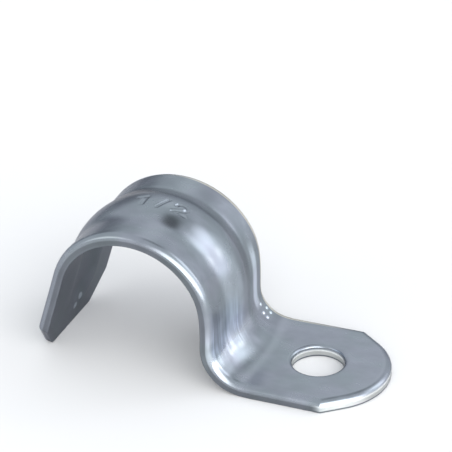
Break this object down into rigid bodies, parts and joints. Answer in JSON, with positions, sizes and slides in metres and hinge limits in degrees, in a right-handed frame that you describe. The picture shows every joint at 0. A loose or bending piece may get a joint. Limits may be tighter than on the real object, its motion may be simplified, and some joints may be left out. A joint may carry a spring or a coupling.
{
  "type": "conduit strap",
  "caption": "Pressed sheet steel strap that arches over a conduit, with a raised rib along its middle, a screw foot on one side and a short free leg on the other.",
  "frame": {"origin": "Centre of the screw hole, on the wall plane that the foot lies on", "axes": "+Z points out of the wall, +Y runs along the conduit, +X points from the conduit towards the round end of the foot"},
  "size_m": [0.043, 0.0168, 0.0195],
  "materials": {
    "zinc_plated_steel": "bright zinc plating on pressed steel, smooth and softly reflective, with a bluish tint"
  },
  "bodies": {
    "root": {"strap": "zinc_plated_steel"}
  },
  "joints": []
}
